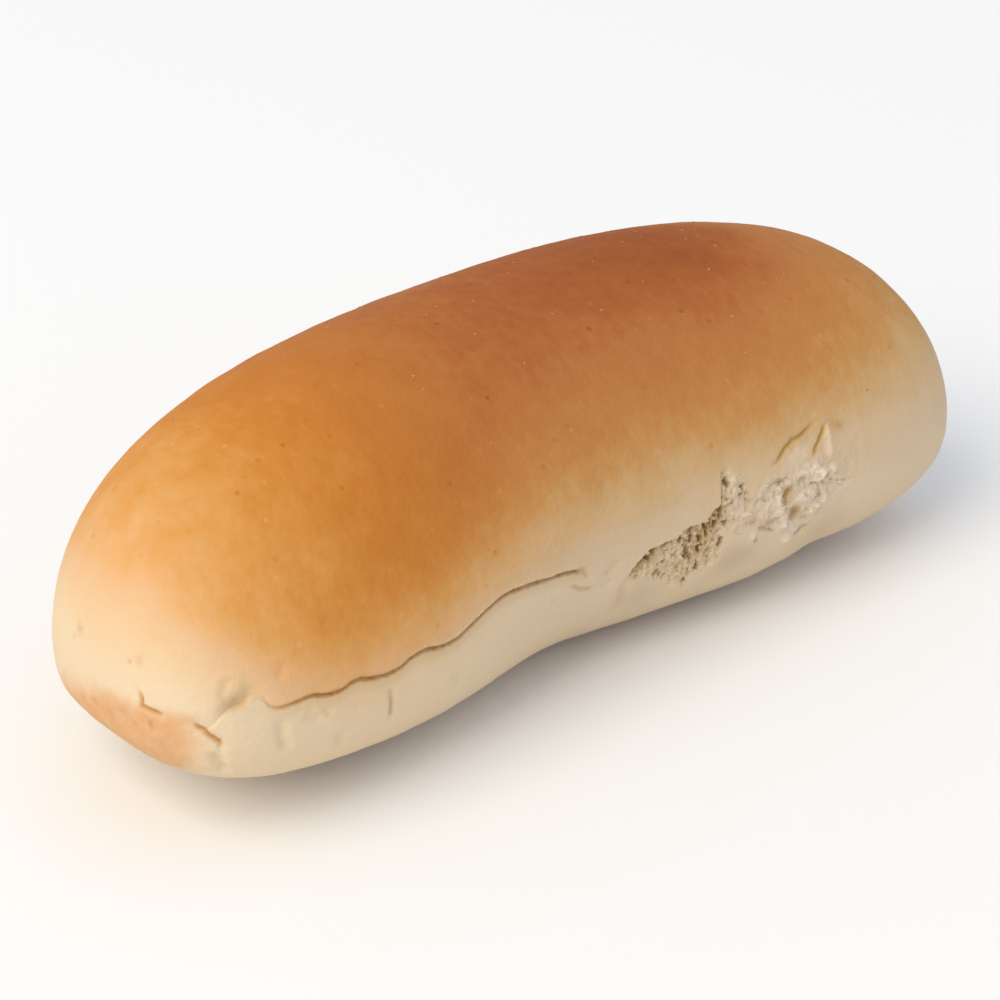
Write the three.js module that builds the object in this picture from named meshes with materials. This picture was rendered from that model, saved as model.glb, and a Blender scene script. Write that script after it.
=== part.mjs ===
// Hot dog bun: one soft roll, proofed on a flat tray against its neighbours and baked whole.
// It has a browned dome, pale flanks, a split along the front flank where the dome sprang up,
// a patch of bare crumb where a neighbour was pulled off, and folded skin at the near end.
// Millimetres. +Z is up, +X runs along the roll, the torn flank faces -Y, and the origin is
// at the middle of the box's underside.

import * as THREE from "three";
import { ImprovedNoise } from "three/addons/math/ImprovedNoise.js";
import { mergeVertices } from "three/addons/utils/BufferGeometryUtils.js";

// Driving dimensions
const LENGTH = 150;
const WIDTH = 63;
const HEIGHT = 50.5;
const BELLY = 18; // height of the widest line
const BOW = 11.3; // how far both ends swing forward of the middle
const FLATTEN = 1.5; // what the tray takes off the round underside

// Roundness of the ends in plan, over the dome and below: 2 is an ellipse, more is blunter
const NEAR = { plan: 2.95, dome: 3.1, under: 2.2 };
const FAR = { plan: 3.75, dome: 3.35, under: 3.0 };
const UNDERSIDE = 2.6; // roundness of the section below the widest line

// The front foot: drawn in where the neighbour pressed, swelling under the torn patch, dented past it
const FOOT_DENTS = [
  { at: -8, spread: 18, height: 4.5 },
  { at: 28, spread: 7, height: -0.6 },
  { at: 43, spread: 5, height: 1.3 },
];
const FOOT_TOP = 26; // height at which the dents have run out
const FOOT_SIDE = 0.6; // how far round to the flank, as a cosine, the dents are full

// The split's line along the front flank: the root and the tip of a flap, then a rise over the foot
const FOLD_HEIGHT = 21.9;
const FOLD_BENDS = [
  { at: -70.5, spread: 2.6, height: -2.6 },
  { at: -64.5, spread: 3.4, height: 2.4 },
  { at: -19, spread: 9, height: 1.6 },
];
const FOLD_SINK = { from: -8, to: 4, depth: 3.6 }; // down into the torn patch
const FOLD_WOBBLE = { size: 1.5, height: 0.35 };
const FOLD_STEEPEST = 0.5; // sine of the highest angle that the line may climb to at a tip

// The split's form: skin proud above, drawn in below, turned over at the flap, and an open crack
const FOLD_SPAN = { from: -74, to: 3, fadeIn: 3, fadeOut: 6 };
const LIP = { height: 0.9, reach: 3.5 };
const UNDERCUT = { height: -1.2, reach: 5 };
const FLAP = { at: -66, spread: 4, height: -1.7 };
const CRACK_SPAN = { from: -63, to: -5, fadeIn: 5, fadeOut: 6 };
const CRACK = { depth: 2, halfWidth: 0.5 };

// The torn patch: lobes of bare crumb, each with its middle, half sizes and depth below the skin
const LOBES = [
  { x: 12, z: 14, across: 11, up: 6.5, depth: 2.4 },
  { x: 31, z: 19, across: 14, up: 7.5, depth: 1.1 },
  { x: 20.5, z: 24.5, across: 2.6, up: 4, depth: 2.2 },
  { x: 39.5, z: 25.5, across: 3.6, up: 4.6, depth: 1.4 },
  { x: 37, z: 11.5, across: 3, up: 3.6, depth: 1.6 },
];
const LOBE_RIM = 0.22; // share of a lobe over which its rim drops
const LOBE_RAGGED = { size: 3, share: 0.22 };
const CRAGS = { size: 3.4, height: 0.9, slice: 7.3 };

// The rest of the skin
const BACK_CREASE = { height: 20, reach: 2.2, depth: 0.8, wobble: 0.8, wobbleSize: 7 };
const UNEVEN = { size: 34, height: 0.3, slice: 4.5 };
const FLANK = { from: 4, to: 9 }; // distance from the middle line over which a flank's relief comes in
const TRAY_FADE = 4; // height over which all relief comes in

// Facets: stations along the roll and rows around it, and how far they crowd to the torn flank
const STATIONS = 92;
const ROWS = 60;
const STATION_CROWD = { at: 0.62, share: 0.42 };
const ROW_CROWD = 0.72;
const WELD = 1e-3;

const noise = new ImprovedNoise();

const bell = (x, at, spread) => Math.exp(-(((x - at) / spread) ** 2));
const ramp = (x, from, to) => THREE.MathUtils.smoothstep(x, from, to);
const signedPower = (x, power) => Math.sign(x) * Math.abs(x) ** power;
const bumps = (list, x) => list.reduce((sum, b) => sum + b.height * bell(x, b.at, b.spread), 0);

// 1 along a stretch of the roll, fading to 0 at both of its ends
const within = (span, x) =>
  ramp(x, span.from, span.from + span.fadeIn) * (1 - ramp(x, span.to - span.fadeOut, span.to));

// How full the roll is at a station, from 1 in the middle to 0 at either tip
function fullness(station, side) {
  const roundness = station < 0 ? NEAR[side] : FAR[side];
  return Math.max(0, 1 - Math.abs(station) ** roundness) ** (1 / roundness);
}

// The line that the sections are strung on, bowed in plan
const spine = (x) => -BOW * (x / (LENGTH / 2)) ** 2;

// The split's height above the tray
function foldHeight(x) {
  const sink = FOLD_SINK.depth * ramp(x, FOLD_SINK.from, FOLD_SINK.to);
  const wobble = FOLD_WOBBLE.height * Math.sin(x / FOLD_WOBBLE.size);
  return FOLD_HEIGHT + bumps(FOLD_BENDS, x) - sink + wobble;
}

// Stations crowd to the torn patch and to the tips; u runs from 0 at the near tip to 1 at the far one
function stationAt(u) {
  const { at, share } = STATION_CROWD;
  const turn = 2 * Math.PI;
  const crowd = (share / Math.PI) * (Math.sin(turn * (u - at)) + Math.sin(turn * at));
  return Math.sin((Math.PI / 2) * (2 * u - 1 - crowd));
}

// Rows crowd to the split and follow it; t runs from -1 to 1, with 0 on the split
function angleAt(station, t) {
  const rise = (HEIGHT - BELLY) * fullness(station, "dome");
  const climb = foldHeight((station * LENGTH) / 2) - BELLY;
  const sine = THREE.MathUtils.clamp(climb / Math.max(rise, WELD), -FOLD_STEEPEST, FOLD_STEEPEST);
  return Math.asin(sine) + Math.PI * ((1 - ROW_CROWD) * t + ROW_CROWD * t ** 3);
}

// A point of the plain roll. The angle is 0 on the front flank and a quarter turn on the top.
function rollPoint(station, angle) {
  const x = (station * LENGTH) / 2;
  const halfWidth = (WIDTH / 2) * fullness(station, "plan");
  const front = Math.cos(angle);
  const up = Math.sin(angle);
  let across = front;
  let z = BELLY + (HEIGHT - BELLY) * fullness(station, "dome") * up;
  if (up < 0) {
    const power = 2 / UNDERSIDE;
    across = signedPower(front, power);
    z = BELLY - (BELLY + FLATTEN) * fullness(station, "under") * (-up) ** power;
  }
  z = Math.max(z, 0);
  const foot = Math.max(0, 1 - z / FOOT_TOP) * ramp(front, 0, FOOT_SIDE);
  return new THREE.Vector3(x, spine(x) - halfWidth * across + foot * bumps(FOOT_DENTS, x), z);
}

// How deep in a lobe a point of the front flank is: 0 or less outside, about 1 in its middle
function lobeShare(lobe, x, z) {
  const { size, share } = LOBE_RAGGED;
  const ragged = share * noise.noise(x / size, z / size, lobe.x);
  return 1 - ((x - lobe.x) / lobe.across) ** 2 - ((z - lobe.z) / lobe.up) ** 2 + ragged;
}

// The torn patch drops below the skin, lobe by lobe, and its floor is craggy
function tearRelief(x, z) {
  let depth = 0;
  let bare = 0;
  for (const lobe of LOBES) {
    const inside = ramp(lobeShare(lobe, x, z), 0, LOBE_RIM);
    depth = Math.max(depth, lobe.depth * inside);
    bare = Math.max(bare, inside);
  }
  const crag = CRAGS.height * noise.noise(x / CRAGS.size, z / CRAGS.size, CRAGS.slice);
  return { bare, height: crag * bare - depth };
}

// The split: a proud lip above, drawn-in skin below, and a crack where it is open
function foldRelief(x, z) {
  const above = z - foldHeight(x);
  const skin = above > 0 ? LIP : UNDERCUT;
  const turned = 1 + FLAP.height * bell(x, FLAP.at, FLAP.spread);
  const step = skin.height * bell(above, 0, skin.reach) * turned * within(FOLD_SPAN, x);
  return step - CRACK.depth * bell(above, 0, CRACK.halfWidth) * within(CRACK_SPAN, x);
}

// A softer crease along the back flank
function backRelief(x, z) {
  const { height, reach, depth, wobble, wobbleSize } = BACK_CREASE;
  return -depth * bell(z, height + wobble * Math.sin(x / wobbleSize), reach);
}

// How far the baked skin lies from the plain roll, measured outwards
function relief({ x, y, z }) {
  const forward = spine(x) - y;
  const tear = tearRelief(x, z);
  const front = tear.height + (1 - tear.bare) * foldRelief(x, z);
  const frontShare = ramp(forward, FLANK.from, FLANK.to);
  const backShare = ramp(-forward, FLANK.from, FLANK.to);
  const { size, height, slice } = UNEVEN;
  const uneven = height * noise.noise(x / size, y / size, z / size + slice);
  return ramp(z, 0, TRAY_FADE) * (front * frontShare + backRelief(x, z) * backShare + uneven);
}

// A sphere's facets, moved out to the plain roll and then along the roll's normals by the relief
function bunGeometry() {
  const sphere = new THREE.SphereGeometry(1, ROWS, STATIONS);
  const place = sphere.getAttribute("position");
  const uv = sphere.getAttribute("uv");
  for (let i = 0; i < place.count; i++) {
    const station = stationAt(uv.getY(i));
    const point = rollPoint(station, angleAt(station, 1 - 2 * uv.getX(i)));
    place.setXYZ(i, point.x, point.y, point.z);
  }
  sphere.deleteAttribute("normal");
  sphere.deleteAttribute("uv");
  const geometry = mergeVertices(sphere, WELD);
  geometry.computeVertexNormals();

  const skin = geometry.getAttribute("position");
  const normals = geometry.getAttribute("normal");
  const point = new THREE.Vector3();
  const normal = new THREE.Vector3();
  for (let i = 0; i < skin.count; i++) {
    point.fromBufferAttribute(skin, i);
    normal.fromBufferAttribute(normals, i);
    point.addScaledVector(normal, relief(point));
    skin.setXYZ(i, point.x, point.y, Math.max(point.z, 0));
  }
  geometry.computeBoundingBox();
  const middle = geometry.boundingBox.getCenter(new THREE.Vector3());
  geometry.translate(-middle.x, -middle.y, 0);
  geometry.computeVertexNormals();
  return geometry;
}

const crust = new THREE.MeshStandardMaterial({ color: 0xc48248, roughness: 0.62, metalness: 0 });

const bun = new THREE.Mesh(bunGeometry(), crust);
bun.name = "bun";

const hotDogBun = new THREE.Group();
hotDogBun.add(bun);

export default hotDogBun;
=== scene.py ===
# Hot dog bun: a soft, uncut roll of white bread, proofed against its neighbours on a flat tray,
# baked whole, and pulled off the batch. The file follows the roll from its baked skin to the
# torn flank and the crumbs that lie on it, and ends with floor, light and camera.

import bpy
import math
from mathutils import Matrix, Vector


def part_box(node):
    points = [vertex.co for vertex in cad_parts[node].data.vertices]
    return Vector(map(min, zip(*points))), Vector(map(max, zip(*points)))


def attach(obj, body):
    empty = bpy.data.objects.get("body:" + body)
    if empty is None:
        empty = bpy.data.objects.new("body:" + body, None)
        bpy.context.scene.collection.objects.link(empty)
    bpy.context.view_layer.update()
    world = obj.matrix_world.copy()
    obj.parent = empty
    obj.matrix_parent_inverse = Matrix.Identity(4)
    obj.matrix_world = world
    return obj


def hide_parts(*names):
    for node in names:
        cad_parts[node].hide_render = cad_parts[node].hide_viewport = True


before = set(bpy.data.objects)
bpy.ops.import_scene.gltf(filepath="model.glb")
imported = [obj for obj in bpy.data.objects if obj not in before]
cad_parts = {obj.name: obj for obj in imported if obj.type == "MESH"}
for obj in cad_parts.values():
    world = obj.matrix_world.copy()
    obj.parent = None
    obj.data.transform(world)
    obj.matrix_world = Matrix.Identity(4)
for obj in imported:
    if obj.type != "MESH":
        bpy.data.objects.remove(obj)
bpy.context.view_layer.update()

# The loaf
# One baked roll: a thin browned skin over soft white crumb, pale where its neighbours shaded it.
# A ball is drawn out into the roll, then its skin is raised and sunk by split, creases and lumps.
# Sizes are in millimetres, as is everything inside a node tree; MM takes the result to metres.

MM = 0.001
SIZES = {
    "Length": 150.0,
    "Width": 63.0,
    "Height": 50.5,
    "Belly": 18.0,
    "Bow": 11.3,
    "Flatten": 1.5,
    "Lip": 0.17,
    "Undercut": 0.1,
    "Crack depth": 0.55,
    "Crack half width": 0.3,
}
SIZES["Spine back"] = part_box("bun")[1].y / MM - SIZES["Width"] / 2
NEAR_ROUND = {"plan": 2.95, "dome": 3.1, "under": 2.2}
FAR_ROUND = {"plan": 3.75, "dome": 3.35, "under": 3.0}
UNDERSIDE_ROUND = 2.6

# Bells along the roll: middle, spread, height
FOOT_DENTS = [(-8.0, 18.0, 4.5), (28.0, 7.0, -0.6), (43.0, 5.0, 1.3)]
FOOT_TOP = 26.0
FOOT_SIDE = 0.6

# The split's height above the tray, at places along the roll
FOLD_LINE = [
    (-71.5, 19.6), (-69.9, 20.6), (-67.9, 22.4), (-65.7, 23.2), (-64.4, 24.1), (-63.0, 23.0),
    (-61.4, 22.0), (-59.4, 22.1), (-57.4, 22.3), (-55.1, 21.7), (-52.4, 21.5), (-50.2, 22.0),
    (-48.1, 21.6), (-46.1, 21.1), (-43.5, 20.9), (-40.9, 21.5), (-38.3, 21.8), (-36.1, 21.3),
    (-33.4, 21.0), (-30.6, 21.6), (-27.8, 22.5), (-25.4, 23.2), (-21.9, 23.7), (-18.7, 23.4),
    (-14.7, 22.7), (-10.4, 22.1), (-6.9, 20.8), (-3.0, 18.7), (3.0, 17.7),
]
FOLD_STEEPEST = 0.5
# Stretches along the roll: from, full from, full to, to
FOLD_SPAN = (-71.0, -68.5, -13.0, -5.0)
CRACK_SPAN = (-68.0, -55.0, -8.4, -6.3)
FOLD_WOBBLE = (2.4, 0.45)
# A flap of dough that stands out below the split at the near end, with a pocket over it
FLAP = {"at": -66.6, "spread": 2.8, "raised": 0.12, "sunk": 1.0, "edge": 0.2, "reach": 2.2}
# The step in the skin at the split, and where on it the crack lies
LIP_REACH = 3.5
UNDERCUT_REACH = 5.0
STEP_HALF_WIDTH = 0.14
CRACK_AT = -0.28
# How far forward of the spine the front flank starts, and how high the relief fades in
FLANK = (4.0, 9.0)
TRAY_FADE = 4.0
# One long hollow on the back, where the other neighbour leaned on it
BACK_CREASE = {"height": 20.0, "reach": 1.3, "depth": 1.0, "wave": 7.0, "wobble": 0.8}
BACK_CREASE_SPAN = (-62.0, -48.0, 50.0, 64.0)
# Unevenness of the skin: how wide, how high
UNEVEN = (34.0, 0.6)
DIMPLES = (6.5, 0.35)
# Rows of points round the roll, which crowd together at the split, and stations along it
ROWS = 272
STATIONS = 350
ROW_CROWD = 0.8

# Creases that opened in the skin: depth, then the points that each runs through
CREASES = [
    (0.5, [(-74.4, -15.6, 24.9), (-74.3, -16.9, 23.7), (-74.3, -17.3, 22.9), (-74.5, -17.2, 21.8),
           (-74.2, -18.3, 21.8), (-73.7, -20.1, 21.6), (-72.9, -22.0, 21.3)]),
    (0.5, [(-72.1, -23.4, 22.1), (-71.5, -24.4, 21.1), (-70.7, -25.3, 20.2), (-69.9, -26.1, 19.3),
           (-69.2, -26.6, 18.6), (-69.0, -26.9, 17.5), (-68.9, -26.9, 16.2)]),
    (0.48, [(28.0, -30.7, 24.6), (29.2, -30.6, 25.1), (30.4, -30.5, 25.6), (32.5, -30.2, 27.1),
            (33.7, -30.2, 27.7), (35.5, -30.3, 28.0), (37.5, -30.2, 28.6), (38.9, -30.3, 29.0),
            (40.0, -30.3, 29.4)]),
    (0.48, [(41.4, -30.4, 29.1), (40.2, -30.7, 27.9), (39.1, -30.9, 26.7), (37.9, -31.2, 25.3),
            (37.6, -31.4, 24.2), (36.6, -31.5, 23.5)]),
    (0.42, [(-44.5, -31.4, 20.0), (-44.2, -31.2, 16.2), (-43.9, -31.0, 12.0)]),
    (0.38, [(-10.4, -29.1, 20.3), (-8.6, -28.9, 18.9), (-7.1, -28.6, 17.7), (-5.0, -28.5, 16.9),
            (-2.4, -28.4, 16.4)]),
    (0.4, [(-8.2, -29.2, 22.0), (-6.8, -29.1, 21.1), (-6.2, -28.9, 19.8), (-5.4, -28.8, 18.4)]),
]
CREASE_HALF_WIDTH = 0.3
# Soft dents, where the skin buckled without opening
DENTS = [
    (0.8, [(-70.0, -26.0, 17.4), (-69.6, -26.2, 15.8), (-68.5, -26.1, 13.8), (-67.2, -25.7, 12.4)]),
    (0.5, [(-61.8, -29.9, 20.8), (-61.4, -30.0, 17.6), (-60.6, -30.0, 14.4)]),
    (0.4, [(-58.6, -30.7, 19.8), (-56.6, -30.8, 18.6), (-54.6, -31.0, 18.0)]),
    (0.5, [(-53.0, -31.0, 15.0), (-52.2, -31.0, 13.0), (-52.4, -31.0, 11.0)]),
    (0.3, [(-67.0, -26.1, 27.3), (-67.6, -26.3, 25.7), (-68.5, -26.4, 24.0)]),
    (0.2, [(-60.3, -28.4, 28.0), (-60.3, -28.9, 26.5), (-61.2, -29.1, 25.1)]),
    (0.4, [(-54.9, -31.0, 19.7), (-54.8, -31.1, 18.5), (-55.2, -31.0, 17.7)]),
    (0.4, [(-33.0, -31.0, 16.0), (-31.5, -31.0, 14.4), (-31.0, -31.0, 12.4)]),
    (0.4, [(-3.0, -28.8, 18.8), (-1.6, -28.8, 18.5), (-0.4, -29.0, 19.2), (0.6, -29.0, 20.2)]),
    (0.35, [(-3.0, -28.5, 16.8), (-1.6, -28.5, 16.5), (-0.2, -28.5, 16.2)]),
    (0.6, [(2.0, -28.8, 16.6), (1.8, -28.5, 13.2), (2.0, -26.9, 8.6)]),
    (0.3, [(-41.0, 26.6, 17.0), (-39.6, 27.0, 14.6), (-39.8, 26.6, 12.4)]),
    (0.35, [(11.0, 32.2, 17.6), (12.6, 32.0, 14.8), (12.2, 31.4, 11.6)]),
    (0.3, [(33.0, 29.6, 18.4), (35.4, 29.0, 17.2), (37.2, 28.6, 15.4)]),
    (0.3, [(73.6, 4.0, 22.0), (74.0, 2.0, 20.4), (74.0, 1.0, 18.0)]),
]
DENT_HALF_WIDTH = 0.75
CREASE_STEP = 0.1
CREASE_WANDER = (1.1, 0.5)
CREASE_TAPER = 0.3
# Skin off the front flank counts as this far above the split
FAR_OFF = 50.0
# No point lies lower than this along, across and up
LOWEST = (-1000.0, -1000.0, 0.0)
TINY = 0.001

# Where the torn flank lies: its borders along and up, and where inside them the loaf makes room
TORN_ALONG = (-4.0, 50.0)
TORN_UP = (4.5, 34.0)
TORN_BED_FROM = (2.6, 4.0)
TORN_BED = 5.0


class Field:
    """One value in a graph. Arithmetic on it adds Math nodes."""

    def __init__(self, graph, socket):
        self.graph = graph
        self.socket = socket

    def __add__(self, other):
        return self.graph.math("ADD", self, other)

    def __sub__(self, other):
        return self.graph.math("SUBTRACT", self, other)

    def __rsub__(self, other):
        return self.graph.math("SUBTRACT", other, self)

    def __mul__(self, other):
        return self.graph.math("MULTIPLY", self, other)

    def __truediv__(self, other):
        return self.graph.math("DIVIDE", self, other)

    def __rtruediv__(self, other):
        return self.graph.math("DIVIDE", other, self)

    def __pow__(self, power):
        return self.graph.math("POWER", self, power)

    def __neg__(self):
        return self.graph.math("MULTIPLY", self, -1.0)

    def __abs__(self):
        return self.graph.math("ABSOLUTE", self)

    __radd__ = __add__
    __rmul__ = __mul__


class Graph:
    """A node tree under construction, in which a rule can be written as a formula."""

    def __init__(self, tree):
        self.tree = tree

    def node(self, kind, sockets=(), **settings):
        made = self.tree.nodes.new(kind)
        for name, value in settings.items():
            setattr(made, name, value)
        for key, value in dict(sockets).items():
            if isinstance(value, Field):
                self.tree.links.new(value.socket, made.inputs[key])
            else:
                made.inputs[key].default_value = value
        return made

    def field(self, kind, sockets=(), output=0, **settings):
        return Field(self, self.node(kind, sockets, **settings).outputs[output])

    def math(self, operation, *values):
        return self.field("ShaderNodeMath", enumerate(values), operation=operation)

    def least(self, first, second):
        return self.math("MINIMUM", first, second)

    def most(self, first, second):
        return self.math("MAXIMUM", first, second)

    def ramp(self, value, low, high):
        sockets = {0: value, 1: low, 2: high}
        return self.field("ShaderNodeMapRange", sockets, interpolation_type="SMOOTHSTEP")

    def within(self, value, span):
        start, full_from, full_to, stop = span
        return self.ramp(value, start, full_from) * (1.0 - self.ramp(value, full_to, stop))

    def bell(self, value, at, spread):
        share = (value - at) / spread
        return self.math("EXPONENT", -(share * share))

    def bumps(self, value, bells):
        return sum(self.bell(value, at, spread) * height for at, spread, height in bells)

    def patches(self, along, up, spots):
        """Heights of bells on a face, each given by its middle, its spread both ways and its height."""
        total = 0.0
        for x, z, wide, tall, height in spots:
            total = total + self.bell(along, x, wide) * self.bell(up, z, tall) * height
        return total

    def profile(self, value, points):
        """A line drawn through points, read at a value along it."""
        along, heights = zip(*points)
        start, stop, low, high = along[0], along[-1], min(heights), max(heights)
        made = self.node("ShaderNodeFloatCurve", {"Value": (value - start) / (stop - start)})
        drawn = made.mapping.curves[0]
        while len(drawn.points) < len(points):
            drawn.points.new(0.5, 0.5)
        for mark, (at, height) in zip(drawn.points, points):
            mark.location = ((at - start) / (stop - start), (height - low) / (high - low))
        made.mapping.update()
        return Field(self, made.outputs[0]) * (high - low) + low

    def noise(self, place, size, detail=2.0, roughness=0.5):
        sockets = {"Vector": place, "Scale": 1 / size, "Detail": detail, "Roughness": roughness}
        return self.field("ShaderNodeTexNoise", sockets) - 0.5

    def ripple(self, place, size, height, **settings):
        """Noise of a size, up to half a height up or down."""
        return self.noise(place, size, **settings) * height

    def drift(self, place, size, reach, detail=2.0):
        """Places moved aside, each its own way, by up to half the reach."""
        sockets = {"Vector": place, "Scale": 1 / size, "Detail": detail}
        aside = self.field("ShaderNodeTexNoise", sockets, output=1)
        aside = self.vectors("SUBTRACT", aside, (0.5, 0.5, 0.5))
        return self.vectors("MULTIPLY_ADD", aside, (reach, reach, reach), place)

    def cells(self, place, size):
        """Distance to the middle of the nearest of scattered cells, and a number for each cell."""
        made = self.node("ShaderNodeTexVoronoi", {"Vector": place, "Scale": 1 / size})
        number = self.parts(Field(self, made.outputs["Color"]))[0]
        return Field(self, made.outputs["Distance"]), number

    def pockets(self, place, size):
        """How far a place is from the wall of the scattered cell that it lies in, and the cell's number."""
        sockets = {"Vector": place, "Scale": 1 / size}
        wall = self.field("ShaderNodeTexVoronoi", sockets, output="Distance", feature="DISTANCE_TO_EDGE")
        return wall * size, self.cells(place, size)[1]

    def vector(self, *parts):
        return self.field("ShaderNodeCombineXYZ", enumerate(parts))

    def parts(self, vector):
        split = self.node("ShaderNodeSeparateXYZ", {0: vector})
        return [Field(self, output) for output in split.outputs]

    def vectors(self, operation, *vectors):
        return self.field("ShaderNodeVectorMath", enumerate(vectors), operation=operation)


class Former(Graph):
    """A geometry-nodes tree that makes one piece, with named inputs for its sizes."""

    def __init__(self, name):
        super().__init__(bpy.data.node_groups.new(name, "GeometryNodeTree"))
        self.name = name
        self.values = {}
        self.entry = self.tree.nodes.new("NodeGroupInput")
        self.tree.interface.new_socket("Geometry", in_out="OUTPUT", socket_type="NodeSocketGeometry")

    def size(self, name, value, kind="NodeSocketFloat"):
        socket = self.tree.interface.new_socket(name, in_out="INPUT", socket_type=kind)
        self.values[socket.identifier] = value
        return Field(self, self.entry.outputs[name])

    def position(self):
        return self.field("GeometryNodeInputPosition")

    def move(self, geometry, place):
        return self.field("GeometryNodeSetPosition", {"Geometry": geometry, "Position": place})

    def swell(self, geometry, height):
        """Moves each point outwards by a height, and never below the tray."""
        normal = self.field("GeometryNodeInputNormal")
        place = self.vectors("MULTIPLY_ADD", normal, self.vector(height, height, height), self.position())
        return self.move(geometry, self.vectors("MAXIMUM", place, LOWEST))

    def keep(self, geometry, name, value):
        sockets = {"Geometry": geometry, "Name": name, "Value": value}
        return self.field("GeometryNodeStoreNamedAttribute", sockets, data_type="FLOAT", domain="POINT")

    def kept(self, name):
        return self.field("GeometryNodeInputNamedAttribute", {"Name": name}, data_type="FLOAT")

    def borrow(self, name, piece):
        """The mesh of a finished piece, in millimetres."""
        source = self.size(name, piece, "NodeSocketObject")
        mesh = self.field("GeometryNodeObjectInfo", {"Object": source}, output="Geometry")
        return self.field("GeometryNodeTransform", {"Geometry": mesh, "Scale": (1 / MM, 1 / MM, 1 / MM)})

    def random(self, low, high, seed):
        sockets = {0: low, 1: high, "Seed": seed}
        return self.field("FunctionNodeRandomValue", sockets, data_type="FLOAT_VECTOR")

    def grow(self, geometry, material):
        """Ends the tree, runs it, and returns what it makes as a plain mesh object in metres."""
        scaled = self.field("GeometryNodeTransform", {"Geometry": geometry, "Scale": (MM, MM, MM)})
        smooth = self.field("GeometryNodeSetShadeSmooth", {"Geometry": scaled})
        real = self.field("GeometryNodeRealizeInstances", {"Geometry": smooth})
        dressed = self.field("GeometryNodeSetMaterial", {"Geometry": real, "Material": material})
        self.node("NodeGroupOutput", {0: dressed})
        piece = bpy.data.objects.new(self.name, bpy.data.meshes.new(self.name))
        bpy.context.scene.collection.objects.link(piece)
        modifier = piece.modifiers.new(self.name, "NODES")
        modifier.node_group = self.tree
        for identifier, value in self.values.items():
            modifier[identifier] = value
        depsgraph = bpy.context.evaluated_depsgraph_get()
        grown = piece.evaluated_get(depsgraph)
        mesh = bpy.data.meshes.new_from_object(grown, preserve_all_data_layers=True, depsgraph=depsgraph)
        piece.modifiers.clear()
        piece.data = mesh
        mesh.name = self.name
        return piece


def fullness(form, station, side):
    """How full the roll is at a station, from 1 in the middle to 0 at either tip."""
    far = form.math("GREATER_THAN", station, 0.0)
    roundness = NEAR_ROUND[side] + far * (FAR_ROUND[side] - NEAR_ROUND[side])
    return form.most(1.0 - abs(station) ** roundness, 0.0) ** (1.0 / roundness)


def flank_angle(form, station, height, size):
    """The angle round the roll at which its front flank has a height above the tray."""
    rise = (size["Height"] - size["Belly"]) * fullness(form, station, "dome")
    drop = (size["Belly"] + size["Flatten"]) * fullness(form, station, "under")
    above = height - size["Belly"]
    climb = form.most(above, 0.0) / form.most(rise, TINY)
    sink = (form.most(-above, 0.0) / form.most(drop, TINY)) ** (UNDERSIDE_ROUND / 2.0)
    return form.math("ARCSINE", form.most(form.least(climb - sink, 1.0), -1.0))


def roll_point(form, station, angle, size):
    """A point of the plain roll. The angle is 0 on the front flank and a quarter turn on top."""
    x = station * size["Length"] / 2.0
    front = form.math("COSINE", angle)
    up = form.math("SINE", angle)
    below = form.math("LESS_THAN", up, 0.0)
    power = 2.0 / UNDERSIDE_ROUND
    rise = (size["Height"] - size["Belly"]) * fullness(form, station, "dome") * up
    drop = (size["Belly"] + size["Flatten"]) * fullness(form, station, "under") * abs(up) ** power
    squared = form.math("SIGN", front) * abs(front) ** power
    across = front + below * (squared - front)
    z = form.most(size["Belly"] + rise * (1.0 - below) - drop * below, 0.0)
    foot = form.most(1.0 - z / FOOT_TOP, 0.0) * form.ramp(front, 0.0, FOOT_SIDE)
    spine = size["Spine back"] - size["Bow"] * station * station
    half_width = fullness(form, station, "plan") * size["Width"] / 2.0
    y = spine - half_width * across + foot * form.bumps(x, FOOT_DENTS)
    return form.vector(x, y, z)


def plain_roll(form, size, rows, stations):
    """The roll without relief. Its rows lie along the split and crowd together there."""
    ball = form.field("GeometryNodeMeshUVSphere", {"Segments": rows, "Rings": stations, "Radius": 1.0})
    east, north, pole = form.parts(form.position())
    t = form.math("ARCTAN2", -north, east)
    fold = form.profile(pole * size["Length"] / 2.0, FOLD_LINE)
    limit = math.asin(FOLD_STEEPEST)
    start = form.most(form.least(flank_angle(form, pole, fold, size), limit), -limit)
    angle = start + t - form.math("SINE", t) * ROW_CROWD
    return form.move(ball, roll_point(form, pole, angle, size))


def skin_lines(name, marks):
    """Creases or dents as bare lines, with each point's radius holding the depth there."""
    curve = bpy.data.curves.new(name, "CURVE")
    curve.dimensions = "3D"
    for depth, places in marks:
        line = curve.splines.new("POLY")
        line.points.add(len(places) - 1)
        for point, place in zip(line.points, places):
            point.co = (*place, 1.0)
            point.radius = depth
    lines = bpy.data.objects.new(name, curve)
    bpy.context.scene.collection.objects.link(lines)
    return lines


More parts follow.
